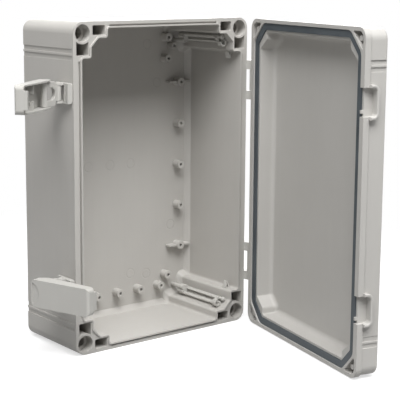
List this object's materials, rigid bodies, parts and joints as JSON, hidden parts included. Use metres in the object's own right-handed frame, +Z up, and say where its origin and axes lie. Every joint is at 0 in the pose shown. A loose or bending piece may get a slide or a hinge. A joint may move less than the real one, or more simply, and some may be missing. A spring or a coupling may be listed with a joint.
{
  "type": "hinged wall enclosure",
  "caption": "Deep moulded wall enclosure with a gasketed lid on side hinges, toggle latches on the other side, screw tubes in the corners and bosses on the back wall.",
  "frame": {"origin": "middle of the flat back face that goes against the wall", "axes": "+X to the right towards the lid's hinges, +Y out of the back into the wall, +Z up along the tall side"},
  "size_m": [0.2888, 0.2914, 0.3],
  "materials": {
    "shell": "fine satin moulding",
    "fittings": "smooth moulding",
    "gasket": "closed-cell foam",
    "pins": "drawn wire"
  },
  "bodies": {
    "base": {"base_shell": "shell", "upper_hinge_base_leaf": "fittings", "upper_hinge_pin": "pins", "upper_latch_bracket": "fittings", "upper_panel_rail": "fittings", "upper_panel_clip": "fittings", "lower_hinge_base_leaf": "fittings", "lower_hinge_pin": "pins", "lower_latch_bracket": "fittings", "lower_panel_rail": "fittings", "lower_panel_clip": "fittings"},
    "lid": {"lid_shell": "shell", "lid_gasket": "gasket", "upper_hinge_lid_leaf": "fittings", "lower_hinge_lid_leaf": "fittings"},
    "upper_link": {"upper_latch_link": "fittings"},
    "upper_lever": {"upper_latch_lever": "fittings"},
    "lower_link": {"lower_latch_link": "fittings"},
    "lower_lever": {"lower_latch_lever": "fittings"}
  },
  "joints": [
    {"name": "lid_hinge", "type": "hinge", "parent": "base", "child": "lid", "pos_m": [0.104, -0.0886, 0], "axis": [0, 0, 1], "range_deg": [-76, 94]},
    {"name": "upper_link_pivot", "type": "hinge", "parent": "base", "child": "upper_link", "pos_m": [-0.107, -0.07, 0.088], "axis": [0, 0, 1], "range_deg": [-100.7, 0]},
    {"name": "upper_lever_pivot", "type": "hinge", "parent": "upper_link", "child": "upper_lever", "pos_m": [-0.125, -0.07609, 0.088], "axis": [0, 0, 1], "range_deg": [0, 158.1]},
    {"name": "lower_link_pivot", "type": "hinge", "parent": "base", "child": "lower_link", "pos_m": [-0.107, -0.07, -0.088], "axis": [0, 0, 1], "range_deg": [-106, 0]},
    {"name": "lower_lever_pivot", "type": "hinge", "parent": "lower_link", "child": "lower_lever", "pos_m": [-0.12436, -0.07773, -0.088], "axis": [0, 0, 1], "range_deg": [0, 93.1]}
  ],
  "couplings": [
    {"joint": "upper_lever_pivot", "follows": "upper_link_pivot", "ratio": -1.569},
    {"joint": "lower_lever_pivot", "follows": "lower_link_pivot", "ratio": -0.87736}
  ]
}
